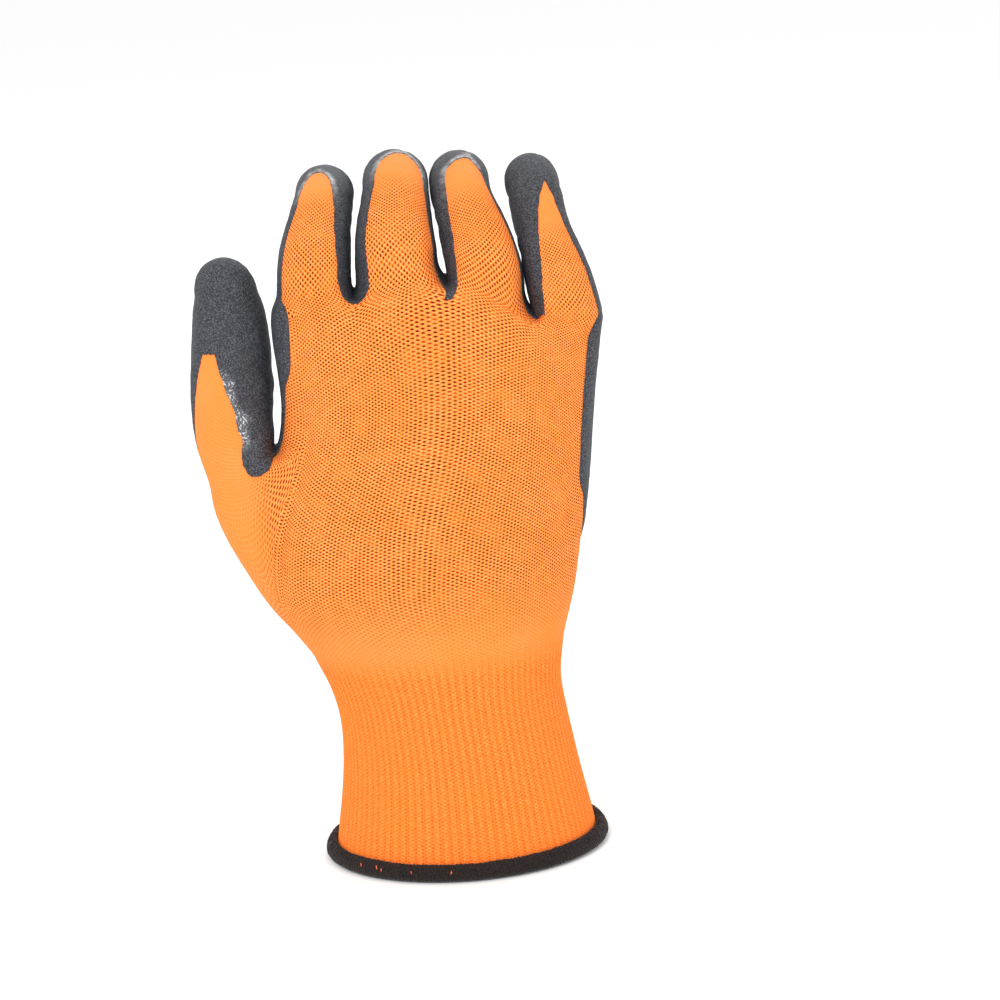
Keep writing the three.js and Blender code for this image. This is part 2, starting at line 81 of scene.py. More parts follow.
# Outline of the hand from the cuff to the crotches: level is a share of palm_length, left and right of palm_width,
# back and front of palm_depth, and square is the outline's power.
hand_sections = table(
    "level left right back front square",
    (0, -0.452, 0.355, -0.54, 0.52, 2.1),
    (0.09, -0.525, 0.383, -0.55, 0.53, 2.1),
    (0.18, -0.592, 0.409, -0.55, 0.53, 2.15),
    (0.28, -0.607, 0.428, -0.55, 0.52, 2.2),
    (0.38, -0.59, 0.443, -0.54, 0.498, 2.3),
    (0.49, -0.54, 0.459, -0.52, 0.465, 2.4),
    (0.61, -0.49, 0.474, -0.495, 0.42, 2.45),
    (0.73, -0.466, 0.487, -0.46, 0.38, 2.5),
    (0.86, -0.471, 0.505, -0.41, 0.338, 2.5),
    (1, -0.478, 0.522, -0.31, 0.32, 2.5),
)
cuff_sections = table(
    "level left right back front square",
    (0.45, -0.52, 0.505, -0.54, 0.54, 2),
    (0.76, -0.535, 0.465, -0.5, 0.5, 2),
)
cuff_rings = [0.02, 0.09, 0.2, 0.34, 0.52, 0.7, 0.84, 0.95]
fan_start = 0.6
fan_length = 0.35

crotches = table("across rise", (-0.86, -0.04), (-0.49, 0), (0.09, 0.04), (0.61, -0.2), (0.9, -0.3))
crotch_arch = 0.04

palm_pads = table(
    "across up spread height",
    (-0.36, 0.3, 0.5, 0.1),
    (0.22, 0.34, 0.5, 0.07),
    (-0.05, 0.6, 0.4, -0.1),
)

# Fingers: length is a share of palm_length and width of palm_width. turn and half place the uncoated tongue down
# the back, at the base and at the end, and end is the share of the length where it closes. bend is towards the palm
# and lean sideways, in degrees.
fingers = table(
    "across length width bend lean turn half end",
    (-0.346, 0.605, 0.217, (36, 84, 102), (0, 12, 0), (-7, -12), (60, 34), 0.7),  # index
    (-0.083, 0.645, 0.242, (40, 88, 104), (-3, 4, 0), (12, 16), (62, 54), 0.74),  # middle
    (0.184, 0.64, 0.221, (33, 80, 100), (0, -14, 0), (12, 16), (64, 54), 0.74),  # ring
    (0.433, 0.561, 0.196, (22, 50, 76), (-8, -14, -4), (8, 24), (60, 28), 0.68),  # little
)
root_length = 0.26  # share of a finger's length over which it turns out of the palm
root_reach = 0.4  # share over which its section changes from the palm's to a round one
past_tongue = 40  # degrees that the coat overlaps by, one tongue's length past the tongue
lean_marks = [0, 0.35, 0.65]  # shares of the length where the leans hold
tip_width = 0.78  # width of the tip, as a share of the finger's, reached at taper_length
taper_length = 0.6
root_ring = 0.07  # place of the first ring of a finger
slack = 0.05  # share of its width that the slack cloth of a finger stands out, up to slack_end of its length
slack_end = 0.62
finger_rings = [root_ring, 0.17, 0.3, 0.44, 0.57, 0.7, 0.85, 1]
dome_rings = [35, 66]
knuckles = [0.34, 0.6, 0.68, 0.9]  # where the bends of the middle and the last joint start and end
centre_steps = 5  # steps in which a finger's middle line goes from ring to ring
tip_length = 3 * mm  # knit that the closing of a tip stands for

thumb_width = 0.25 * palm_width
thumb_rows = [2, 6]
thumb_sections = table(
    "across front up tilt width depth",
    (-0.605, 0.02, 0.49, 52, 1.18, 1.2),
    (-0.615, 0.04, 0.57, 38, 1.04, 1.12),
    (-0.63, 0.06, 0.645, 24, 1.02, 1.06),
    (-0.626, 0.08, 0.725, 10, 1, 1.01),
    (-0.623, 0.1, 0.81, 2, 0.97, 0.98),
    (-0.617, 0.12, 0.905, 0, 0.9, 0.93),
    (-0.616, 0.14, 0.985, 0, 0.82, 0.84),
    (-0.62, 0.15, 1.055, 0, 0.7, 0.72),
    (-0.624, 0.155, 1.105, 0, 0.5, 0.52),
)
thumb_shaping = 0.3  # share of the root's depth that each section leaves behind
thumb_tip = 1.135
thumb_tongue = SimpleNamespace(turn=(50, 57), half=(92, 16), end=0.63)

# Where the coat starts in each column of the palm, as a share of palm_length.
coat_edge = table(
    "column level",
    (16, 1.06), (17, 0.42), (18, 0.28), (20, 0.13), (23, 0.06), (29, 0.05),
    (33, 0.1), (36, 0.24), (37, 0.34), (38, 0.5), (39, 0.8), (40, 1.08),
)
crotch_coat = -1.2 * mm  # how far the coat passes a crotch, under 0 where it stops short
coat_lobe = SimpleNamespace(across=-0.552, up=0.62, half_width=0.06, half_length=0.075, front=0.2)
coat_reach = 12 * mm  # depth beyond which all places lie equally far inside the coat
far_outside = -palm_width  # depth of a place that the coat doesn't reach
thumb_start = 0.5 * palm_width  # how far from the middle the thumb's side starts


def clamp(x, low=0.0, high=1.0):
    return max(low, min(high, x))


def lerp(a, b, share):
    return a + (b - a) * share


def smooth(x):
    x = clamp(x)
    return x * x * (3 - 2 * x)


def power(x, p):
    return math.copysign(abs(x) ** p, x)


def table_value(rows, key, place, column):
    """Value of a table's column at a place along another, between its rows."""
    after = next((i for i, row in enumerate(rows) if getattr(row, key) >= place), len(rows) - 1)
    after = max(1, after)
    a, b = rows[after - 1], rows[after]
    share = clamp((place - getattr(a, key)) / (getattr(b, key) - getattr(a, key)))
    return lerp(getattr(a, column), getattr(b, column), share)


# Outline of the glove below the crotches.
def hand_section(row):
    return SimpleNamespace(
        z=cuff_length + row.level * palm_length,
        left=row.left * palm_width,
        right=row.right * palm_width,
        back=row.back * palm_depth,
        front=row.front * palm_depth,
        square=row.square,
    )


mouth_section = SimpleNamespace(
    z=0, left=-mouth_width / 2, right=mouth_width / 2, back=-mouth_depth / 2, front=mouth_depth / 2, square=2
)
cuff_rows = [
    mouth_section,
    *(
        SimpleNamespace(
            z=row.level * cuff_length,
            left=row.left * wrist_width,
            right=row.right * wrist_width,
            back=row.back * wrist_depth,
            front=row.front * wrist_depth,
            square=row.square,
        )
        for row in cuff_sections
    ),
    hand_section(hand_sections[0]),
    hand_section(hand_sections[1]),
]


def spline(values, steps=48):
    """Points of a smooth curve through the values."""
    last = len(values) - 1
    made = []
    for k in range(last):
        p0, p1, p2, p3 = (values[clamp(k + i, 0, last)] for i in (-1, 0, 1, 2))
        v1, v2 = (p2 - p0) / 2, (p3 - p1) / 2
        for step in range(steps):
            t = step / steps
            cubic = (2 * p1 - 2 * p2 + v1 + v2) * t**3 + (-3 * p1 + 3 * p2 - 2 * v1 - v2) * t**2
            made.append(cubic + v1 * t + p1)
    return made + [values[last]]


cuff_heights = spline([row.z for row in cuff_rows])
cuff_curves = {
    column: spline([getattr(row, column) for row in cuff_rows])
    for column in ("left", "right", "back", "front", "square")
}


def cuff_section(level):
    z = level * cuff_length
    sizes = {column: float(np.interp(z, cuff_heights, curve)) for column, curve in cuff_curves.items()}
    return SimpleNamespace(z=z, **sizes)


def column_turn(column, section):
    """Turn of a column round a section, in radians from the little finger's edge over the back."""
    back = [math.acos(power(row.across, section.square / 2)) for row in crotches]
    keys = [*back, *(-turn for turn in reversed(back)), back[0] - 2 * math.pi]
    strip = int(column // strip_columns)
    in_line = lerp(keys[strip], keys[strip + 1], column / strip_columns - strip)
    even = math.pi / 2 - (column - columns_left_of_middle) * 2 * math.pi / hand_columns
    fan_from = fan_start * cuff_length
    fan_to = cuff_length + fan_length * palm_length
    return lerp(even, in_line, smooth((section.z - fan_from) / (fan_to - fan_from)))


def outline_point(section, turn):
    across = 0.5 + power(math.cos(turn), 2 / section.square) / 2
    back = 0.5 + power(math.sin(turn), 2 / section.square) / 2
    return Vector((lerp(section.left, section.right, across), lerp(section.front, section.back, back), section.z))


def pad_height(point):
    height = 0
    for pad in palm_pads:
        dx = (point.x - pad.across * palm_width) / (pad.spread * palm_depth)
        dz = (point.z - cuff_length - pad.up * palm_length) / (pad.spread * palm_depth)
        height += pad.height * palm_depth * math.exp(-dx * dx - dz * dz)
    return height


# How far inside the coat a place lies, negative outside it.
def lobe_depth(point):
    dx = (point.x - coat_lobe.across * palm_width) / (coat_lobe.half_width * palm_width)
    dz = (point.z - cuff_length - coat_lobe.up * palm_length) / (coat_lobe.half_length * palm_length)
    if point.y >= coat_lobe.front * palm_depth:
        return far_outside
    return (1 - math.hypot(dx, dz)) * coat_lobe.half_width * palm_width


def coat_on_hand(column, point):
    level = (point.z - cuff_length) / palm_length
    last_back = 4 * strip_columns
    column_width = palm_width / last_back
    if column > last_back:
        return min(coat_reach, (level - table_value(coat_edge, "column", column, "level")) * palm_length)
    to_edge = min(column, last_back - column)
    to_crotch = abs(column - round(column / strip_columns) * strip_columns)
    on_back = -(1 + to_edge) * column_width
    over_crotch = crotch_coat - to_crotch * column_width - (1 - level) * palm_length
    return max(on_back, over_crotch if to_edge >= 2 else far_outside, lobe_depth(point))


def coat_on_digit(tongue, turn, share, width):
    reach = share / tongue.end
    middle = lerp(*tongue.turn, min(1, reach))
    closing = math.sqrt(1 - min(1, reach) ** 4)
    half = lerp(*tongue.half, reach) * closing if reach < 1 else past_tongue * (1 - reach)
    off = abs((turn - middle + 540) % 360 - 180)
    return math.radians(off - half) * width / 2


class Cage:
    """The glove's skin as a coarse cage, grown ring by ring from the cuff."""

    def __init__(self):
        self.bm = bmesh.new()
        self.coated = self.bm.verts.layers.float.new("coated")
        self.share = self.bm.verts.layers.float.new("share")
        self.uv = self.bm.loops.layers.uv.new("knit")

    def place(self, corner, point, coated, share=0.0):
        corner.co = point
        corner[self.coated] = coated
        corner[self.share] = share

    def first_ring(self, count):
        return bmesh.ops.create_circle(self.bm, cap_ends=False, segments=count, radius=1)["verts"]

    def grow(self, lower, columns, from_length, to_length):
        """Extrudes a ring and returns the new one and the faces between, with their place in the knit."""
        following = lower[1:] + lower[:1]
        edges = [self.bm.edges.get(pair) for pair in zip(lower, following)]
        made = bmesh.ops.extrude_edge_only(self.bm, edges=edges)["geom"]
        fresh = {part for part in made if isinstance(part, bmesh.types.BMVert)}
        upper = [
            next(edge.other_vert(corner) for edge in corner.link_edges if edge.other_vert(corner) in fresh)
            for corner in lower
        ]
        faces = []
        for i in range(len(lower)):
            j = (i + 1) % len(lower)
            face = self.bm.edges.get((upper[i], upper[j])).link_faces[0]
            places = {
                lower[i]: (columns[i], from_length),
                lower[j]: (columns[i + 1], from_length),
                upper[j]: (columns[i + 1], to_length),
                upper[i]: (columns[i], to_length),
            }
            for loop in face.loops:
                loop[self.uv].uv = places[loop.vert]
            faces.append(face)
        return upper, faces

    def close(self, ring, columns, from_length, tip, coated, share):
        ring, _ = self.grow(ring, columns, from_length, from_length + tip_length)
        for corner in ring:
            self.place(corner, tip, coated, share)
        bmesh.ops.pointmerge(self.bm, verts=ring, merge_co=tip)

    def line_between(self, start, end, inner):
        """An edge from one corner to another, cut into equal parts."""
        self.bm.edges.new((start, end))
        line = [start]
        for left in range(inner, 0, -1):
            edge = self.bm.edges.get((line[-1], end))
            line.append(bmesh.utils.edge_split(edge, line[-1], 1 / (left + 1))[1])
        line.append(end)
        return line


def lay_hand(cage):
    """Rings from the mouth of the cuff to the crotches, open where the thumb leaves them."""
    sections = [cuff_section(level) for level in cuff_rings] + [hand_section(row) for row in hand_sections]
    all_columns = list(range(hand_columns + 1))
    rows, faces = [], []
    for k, section in enumerate(sections):
        if rows:
            ring, between = cage.grow(rows[-1], all_columns, sections[k - 1].z, section.z)
            faces.append(between)
        else:
            ring = cage.first_ring(hand_columns)
        level = (section.z - cuff_length) / palm_length
        for column, corner in enumerate(ring):
            turn = column_turn(column, section)
            point = outline_point(section, turn)
            if level >= 0:
                point.y += pad_height(point) * smooth(-1.5 * math.sin(turn))
                strip = column / strip_columns
                key = clamp(strip if strip < 5 else 9 - strip, 0, 4)
                k0 = min(3, int(key))
                rise = lerp(crotches[k0].rise, crotches[k0 + 1].rise, key - k0)
                point.z += rise * palm_depth * level**4
            cage.place(corner, point, coat_on_hand(column, point))
        rows.append(ring)
    first = len(cuff_rings)
    thumb_column = hand_columns - strip_columns
    hole = [face for r in range(*thumb_rows) for face in faces[first + r][thumb_column:]]
    bmesh.ops.delete(cage.bm, geom=hole, context="FACES")
    return rows[first:]


def lay_fingers(cage, top):
    lines = []
    for k in (1, 2, 3):
        ends = top[k * strip_columns], top[(9 - k) * strip_columns]
        line = cage.line_between(*ends, strip_columns - 1)
        for i, corner in enumerate(line[1:-1]):
            share = (i + 1) / strip_columns
            point = ends[0].co.lerp(ends[1].co, share)
            point.z += crotch_arch * palm_depth * math.sin(math.pi * share)
            cage.place(corner, point, coat_wall + share * share * coat_reach)
        lines.append(line)
    for k, finger in enumerate(fingers):
        strip = lambda first: [top[(first * strip_columns + i) % hand_columns] for i in range(strip_columns)]
        little_side = lines[k][:-1] if k < 3 else strip(4)
        thumb_side = lines[k - 1][:0:-1] if k > 0 else strip(9)
        lay_finger(cage, finger, k, [*strip(k), *little_side, *strip(8 - k), *thumb_side])


def lay_finger(cage, finger, k, root):
    length, width = finger.length * palm_length, finger.width * palm_width
    centre = sum((corner.co for corner in root), Vector()) / len(root)
    centre.x = finger.across * palm_width
    root_depths = [centre.y - corner.co.y for corner in root]
    root_rises = [corner.co.z - centre.z for corner in root]

    def direction(share):
        joints = smooth((share - knuckles[0]) / (knuckles[1] - knuckles[0]))
        ends = smooth((share - knuckles[2]) / (knuckles[3] - knuckles[2]))
        bend = finger.bend[0] * smooth(share / root_length)
        bend += (finger.bend[1] - finger.bend[0]) * joints + (finger.bend[2] - finger.bend[1]) * ends
        mark = 0 if share < lean_marks[1] else 1
        leaning = smooth((share - lean_marks[mark]) / (lean_marks[mark + 1] - lean_marks[mark]))
        bend, lean = math.radians(bend), math.radians(lerp(*finger.lean[mark : mark + 2], leaning))
        return Vector((math.sin(lean), math.sin(bend) * math.cos(lean), math.cos(bend) * math.cos(lean)))

    tip_radius = width * tip_width / 2
    shaft = length - tip_radius
    marks = []
    for share in finger_rings:
        swell = slack * math.sin(math.pi * clamp(share / slack_end))
        marks.append((share * shaft, lerp(1, tip_width, smooth(share / taper_length)) + swell))
    for angle in dome_rings:
        turn = math.radians(angle)
        marks.append((shaft + tip_radius * math.sin(turn), tip_width * math.cos(turn)))
    marks.append((length, 0))
    columns = [k * strip_columns + i for i in range(digit_columns + 1)]
    start = cuff_length + palm_length
    ring, reached = root, 0
    for distance, size in marks:
        step = (distance - reached) / centre_steps
        for i in range(centre_steps):
            centre += direction((reached + (i + 0.5) * step) / length) * step
        share = distance / length
        if size == 0:
            cage.close(ring, columns, start + reached, centre, width, 1)
            return
        along = direction(share)
        side = (Vector((1, 0, 0)) - along * along.x).normalized()
        back = side.cross(along)
        ring, _ = cage.grow(ring, columns, start + reached, start + distance)
        half_width = width / 2 * size
        for i, corner in enumerate(ring):
            turn = (i - strip_columns / 2) * 360 / digit_columns
            depth = half_width * math.cos(math.radians(turn))
            point = centre + side * half_width * math.sin(math.radians(turn))
            point += back * lerp(root_depths[i], depth, smooth(share / root_reach))
            point += along * root_rises[i] * (1 - smooth((share - root_ring) / root_length))
            coated = coat_on_digit(finger, turn, share, width)
            cage.place(corner, point, coated, share)
        reached = distance


def lay_thumb(cage, rows):
    bottom, top = thumb_rows
    first = hand_columns - strip_columns
    at = lambda row, column: rows[row][column % hand_columns]
    steps = range(strip_columns)
    root = [at(bottom, first + i) for i in steps]
    root += [at(bottom + i, hand_columns) for i in steps]
    root += [at(top, hand_columns - i) for i in steps]
    root += [at(top - i, first) for i in steps]
    columns = list(range(digit_columns + 1))
    ring, reached, last_centre = root, 0, sum((corner.co for corner in root), Vector()) / len(root)
    root_depths = [corner.co.y for corner in root]
    for r, row in enumerate(thumb_sections):
        tilt = math.radians(row.tilt)
        outward = Vector((-math.cos(tilt), 0, -math.sin(tilt)))
        back = Vector((0, -1, 0))
        centre = Vector((row.across * palm_width, row.front * palm_depth, cuff_length + row.up * palm_length))
        share = (r + 1) / (len(thumb_sections) + 1)
        distance = reached + (centre - last_centre).length
        ring, _ = cage.grow(ring, columns, reached, distance)
        for i, corner in enumerate(ring):
            turn = (i - strip_columns / 2) * 360 / digit_columns
            point = centre + outward * (row.width * thumb_width / 2) * math.cos(math.radians(turn))
            point += back * (row.depth * thumb_width / 2) * math.sin(math.radians(turn))
            point.y = lerp(point.y, root_depths[i], max(0, 1 - (r + 1) * thumb_shaping))
            coated = max(coat_on_digit(thumb_tongue, turn, share, thumb_width), lobe_depth(point))
            cage.place(corner, point, coated, share)
        reached, last_centre = distance, centre
    tip = Vector((last_centre.x, last_centre.y, cuff_length + thumb_tip * palm_length))
    cage.close(ring, columns, reached, tip, thumb_width, 1)


def new_piece(name, mesh):
    piece = bpy.data.objects.new(name, mesh)
    bpy.context.scene.collection.objects.link(piece)
    return piece


def finished_mesh(piece):
    """The piece's mesh with its modifiers applied."""
    graph = bpy.context.evaluated_depsgraph_get()
    graph.update()
    return bpy.data.meshes.new_from_object(
        piece.evaluated_get(graph), preserve_all_data_layers=True, depsgraph=graph
    )


def read_points(mesh):
    points = np.empty(len(mesh.vertices) * 3)
    mesh.vertices.foreach_get("co", points)
    return points.reshape(-1, 3)


def write_points(mesh, points):
    mesh.vertices.foreach_set("co", np.asarray(points, float).ravel())
    mesh.update()


def subdivided(piece, levels):
    smoothing = piece.modifiers.new("smooth", "SUBSURF")
    smoothing.levels = smoothing.render_levels = levels
    smoothing.use_limit_surface = True
    mesh = finished_mesh(piece)
    piece.modifiers.remove(smoothing)
    return mesh


def lay_skin():
    """The cage of the whole skin, with corners set out so that the smoothed skin passes through their places."""
    cage = Cage()
    rows = lay_hand(cage)
    lay_fingers(cage, rows[-1])
    lay_thumb(cage, rows)
    bmesh.ops.recalc_face_normals(cage.bm, faces=cage.bm.faces)
    mesh = bpy.data.meshes.new("skin")
    cage.bm.to_mesh(mesh)
    cage.bm.free()
    piece = new_piece("skin", mesh)
    goal = read_points(mesh)
    for _ in range(3):
        off = goal - read_points(subdivided(piece, 1))[: len(goal)]
        write_points(mesh, read_points(mesh) + off)
    return piece


# The folds: their end as a share of a finger's length, their least depth inside the coat and their lowest level.
fold_end = 0.22
fold_depth = 4 * mm
fold_level = cuff_length + 0.84 * palm_length
fold_rounds = 10


def relax_folds(mesh):
    """Evens out the sharp fold between the palm and the roots of the bent fingers."""
    bm = bmesh.new()
    bm.from_mesh(mesh)
    share, coated = bm.verts.layers.float["share"], bm.verts.layers.float["coated"]
    folded = [
        corner for corner in bm.verts
        if corner[share] < fold_end and corner[coated] > fold_depth and corner.co.x > -thumb_start
        and corner.co.z > fold_level and corner.co.y > 0
    ]
    for _ in range(fold_rounds):
        bmesh.ops.smooth_vert(
            bm, verts=folded, factor=0.5, use_axis_x=True, use_axis_y=True, use_axis_z=True
        )
    bm.to_mesh(mesh)
    bm.free()


skin = lay_skin()
fine_mesh = subdivided(skin, 2)
relax_folds(fine_mesh)
fine_skin = new_piece("fine_skin", fine_mesh)


# Camera where the photograph was taken from: above the wrist's height and far off, turned a little.
camera_distance = 1.0
camera_elevation = math.radians(17)
camera_roll = math.radians(-4.3)
target = Vector((0, 0, 0.07))
target_off = Vector((-0.047, -0.142))  # where the target shows, from the middle, as a share of the picture
focal = 3.03  # focal length as a share of the picture
film_width = 36


def place_camera():
    ahead = Vector((0, math.cos(camera_elevation), -math.sin(camera_elevation)))
    right = Vector((1, 0, 0))
    up = right.cross(ahead)
    eye = target - ahead * camera_distance
    across = right * math.cos(camera_roll) + up * math.sin(camera_roll)
    upward = up * math.cos(camera_roll) - right * math.sin(camera_roll)
    ahead = (ahead - across * (target_off.x / focal) - upward * (target_off.y / focal)).normalized()
    across = (across - ahead * across.dot(ahead)).normalized()
    upward = across.cross(ahead)
    camera = bpy.data.objects.new("camera", bpy.data.cameras.new("camera"))
    camera.data.sensor_width = film_width
    camera.data.lens = film_width * focal
    turn = Matrix((across, upward, -ahead)).transposed()
    camera.matrix_world = Matrix.Translation(eye) @ turn.to_4x4()
    bpy.context.scene.collection.objects.link(camera)
    bpy.context.scene.camera = camera


place_camera()


# Shader maths as expressions, and one call for any other node.
class Value:
    """A socket's value in a shader, on which arithmetic adds the nodes that it needs."""

    def __init__(self, finish, socket):
        self.finish = finish
        self.socket = socket

    def maths(self, operation, *others):
        return self.finish.node("ShaderNodeMath", {"operation": operation}, [self, *others])

    def __add__(self, other):
        return self.maths("ADD", other)

    def __sub__(self, other):
        return self.maths("SUBTRACT", other)

    def __mul__(self, other):
        return self.maths("MULTIPLY", other)

    def __truediv__(self, other):
        return self.maths("DIVIDE", other)

    def __pow__(self, other):
        return self.maths("POWER", other)

    __radd__ = __add__

    def __rsub__(self, other):
        return self.finish.node("ShaderNodeMath", {"operation": "SUBTRACT"}, [other, self])

    def __abs__(self):
        return self.maths("ABSOLUTE")

    def fraction(self):
        return self.maths("FRACT")

    def sine(self):
        return self.maths("SINE")

    def between(self, low, high):
        """0 below low and 1 above high, smooth between them."""
        settings = {"interpolation_type": "SMOOTHSTEP"}
        return self.finish.node(
            "ShaderNodeMapRange", settings, {"Value": self, "From Min": low, "From Max": high}
        )


class Finish:
    """A material and the nodes of its shader."""

    def __init__(self, name, **constants):
        self.material = bpy.data.materials.new(name)
        self.material.use_nodes = True
        self.tree = self.material.node_tree
        self.shader = self.tree.nodes["Principled BSDF"]
        for socket, value in constants.items():
            self.shader.inputs[socket.replace("_", " ").title().replace("Ior", "IOR")].default_value = value

    def node(self, kind, settings=None, inputs=(), output=0):
        node = self.tree.nodes.new(kind)
        for name, value in (settings or {}).items():
            setattr(node, name, value)
        pairs = inputs.items() if isinstance(inputs, dict) else enumerate(inputs)
        for name, value in pairs:
            self.feed(node.inputs[name], value)
        return Value(self, node.outputs[output])

    def feed(self, socket, value):
        if isinstance(value, Value):
            self.tree.links.new(value.socket, socket)
        else:
            socket.default_value = value

    def attribute(self, name):
        return self.node("ShaderNodeAttribute", {"attribute_name": name}, output="Fac")

    def place(self):
        return self.node("ShaderNodeTexCoord", output="Object")

    def noise(self, scale, detail=2.0, roughness=0.5):
        inputs = {"Vector": self.place(), "Scale": scale, "Detail": detail, "Roughness": roughness}
        return self.node("ShaderNodeTexNoise", None, inputs)

    def cells(self, scale, output="Distance"):
        return self.node("ShaderNodeTexVoronoi", None, {"Vector": self.place(), "Scale": scale}, output)

    def grey(self, colour):
        return self.node("ShaderNodeSeparateColor", None, [colour], "Red")

    def mix(self, share, first, second):
        settings = {"data_type": "RGBA"}
        return self.node("ShaderNodeMix", settings, {0: share, 6: first, 7: second}, 2)

    def bump(self, height, distance, strength):
        return self.node("ShaderNodeBump", None, {"Height": height, "Distance": distance, "Strength": strength})

    def surface(self, **values):
        for socket, value in values.items():
            self.feed(self.shader.inputs[socket.replace("_", " ").title()], value)
        return self.material


def rgb(painted_red_shade, green, blue):
    """A colour read off the screen, as the shader takes it."""
    linear = lambda c: c / 12.92 if c <= 0.04045 else ((c + 0.055) / 1.055) ** 2.4
    return (*(linear(c / 255) for c in (painted_red_shade, green, blue)), 1)


full_turn = 2 * math.pi
gap_width = 0.42  # half sizes of the gap between loops, as shares of a wale and of a course
gap_height = 0.3


def knit_finish():
    """Orange yarn: staggered loops with painted highlights and gaps of painted shade on the back, close at the tips,
    with sunken ribs on the cuff whose valleys carry painted shade.
    """
    finish = Finish(
        "orange_knit", roughness=0.8, sheen_weight=0.06, sheen_roughness=0.5, sheen_tint=(1, 0.5, 0.2, 1),
        specular_ior_level=0.08,
    )
    uv = finish.node("ShaderNodeUVMap", {"uv_map": "knit"})
    column = finish.node("ShaderNodeSeparateXYZ", None, [uv], "X")
    length = finish.node("ShaderNodeSeparateXYZ", None, [uv], "Y")
    openness = finish.attribute("openness")
    ribbed = finish.attribute("ribbed")
    wale = column * wales
    staggered = length / course + (wale / 2).fraction().between(0.49, 0.51) / 2
    across = abs(wale.fraction() - 0.5)
    along = abs(staggered.fraction() - 0.5)
    gap = 1 - ((across / gap_width) ** 2 + (along / gap_height) ** 2).between(0.3, 1)
    loops = (((staggered + across * 0.7) * full_turn).sine() + 1) / 2
    uneven = finish.noise(210, 3).between(0.3, 0.6)
    mottle = finish.noise(900, 2).between(0.35, 0.65)
    specks = finish.noise(2100, 1).between(0.4, 0.7)
    valley = (column * ribs * full_turn).sine().between(0.35, -0.5)
    close_knit = (1 - openness) * (1 - ribbed)
    # Painted shade in the gaps between loops, where the shaded inside of the glove would show.
    painted_gap_shade = gap * openness * (uneven * 0.45 + 0.55)
    # Painted red-orange shade round the gaps and in the valleys of the cuff's ribs.
    painted_red_shade = gap * (0.45 - close_knit * 0.32 + ribbed * (valley * 0.5 - 0.2)) * (0.2 + mottle * 0.8)
    # Painted highlights on the loops and fibre specks, weaker in the ribs' valleys, where painted shade falls.
    painted_highlight = (loops * 0.5 + specks * 0.5) * (1 - close_knit * 0.5) * (1 - ribbed * (0.35 + valley * 0.3))
    yarn = finish.mix(painted_highlight, rgb(255, 110, 24), rgb(255, 177, 100))
    yarn = finish.mix(close_knit * 0.75, yarn, rgb(255, 148, 76))
    yarn = finish.mix(finish.noise(60, 2).between(0.35, 0.7) * 0.3, yarn, rgb(255, 132, 44))
    # Red-orange painted shade.
    yarn = finish.mix(painted_red_shade, yarn, rgb(236, 72, 10))
    # Deepest painted shade in the gaps.
    yarn = finish.mix(painted_gap_shade, yarn, rgb(110, 24, 2))
    height = loops * 0.3 + specks * 0.2 + mottle * 0.2 - gap * (0.3 + openness * 0.6) - ribbed * valley * 0.45
    return finish.surface(base_color=yarn, normal=finish.bump(height, 0.2 * mm, 0.6))


def latex_finish():
    """Charcoal latex: a sandy crumb with painted glints, a smooth rim with a painted highlight, a glossy streak with
    a painted sheen and painted glints.
    """
    finish = Finish("black_latex", specular_ior_level=0.4, coat_roughness=0.12)
    rim = finish.attribute("rim")
    wet_gloss_and_painted_sheen = finish.attribute("wet_gloss_and_painted_sheen")
    sand = finish.noise(1800, 4, 0.8)
    grains = 3000
    grain = finish.grey(finish.cells(grains, "Color"))
    facet = 1 - finish.cells(grains).between(0.2, 0.7)
    patches = finish.noise(160, 3).between(0.3, 0.7)
    crumb = 1 - rim
    base = finish.mix(sand.between(0.36, 0.64), rgb(1, 1, 2), rgb(66, 68, 76))
    base = finish.mix(patches * 0.3, base, rgb(30, 31, 34))
    # Pale specks on the grains: painted glints of the sandy crumb, which the bump shapes.
    base = finish.mix(grain.between(0.3, 1) * facet * crumb * 0.5, base, rgb(150, 153, 162))
    # Painted sheen and pale painted glints on the glossy streak, besides its real gloss.
    glints = finish.noise(1700, 2).between(0.52, 0.64)
    base = finish.mix(wet_gloss_and_painted_sheen * 0.45, base, rgb(80, 82, 88))
    base = finish.mix(wet_gloss_and_painted_sheen * glints * 0.8, base, rgb(222, 224, 228))
    # The smooth rim is painted lighter, with streaky painted highlights.
    painted_highlight_streaks = finish.noise(500, 3).between(0.35, 0.65)
    base = finish.mix(rim * 0.75, base, finish.mix(painted_highlight_streaks, rgb(70, 70, 71), rgb(138, 137, 138)))
    roughness = 0.6 - rim * 0.3 - wet_gloss_and_painted_sheen * 0.35 + sand * 0.1
    height = (sand * 0.8 + grain * facet * 0.5) * crumb + finish.noise(420, 2) * (0.3 + wet_gloss_and_painted_sheen * 0.6)
    normal = finish.bump(height, 0.3 * mm, 0.8)
    return finish.surface(base_color=base, roughness=roughness, coat_weight=wet_gloss_and_painted_sheen, normal=normal)


def overlock_finish():
    """Charcoal overlock thread."""
    finish = Finish("black_overlock", roughness=0.8, sheen_weight=0.1, specular_ior_level=0.2)
    fibres = finish.noise(2400, 3, 0.6)
    base = finish.mix(fibres.between(0.35, 0.7), rgb(8, 5, 4), rgb(46, 38, 35))
    return finish.surface(base_color=base, normal=finish.bump(fibres, 0.15 * mm, 0.7))


def nick_finish():
    finish = Finish("orange_thread", roughness=0.75, sheen_weight=0.3)
    base = finish.mix(finish.noise(1800).between(0.4, 0.6), rgb(214, 70, 22), rgb(240, 104, 44))
    return finish.surface(base_color=base)


orange_knit = knit_finish()
black_latex = latex_finish()
black_overlock = overlock_finish()
orange_thread = nick_finish()


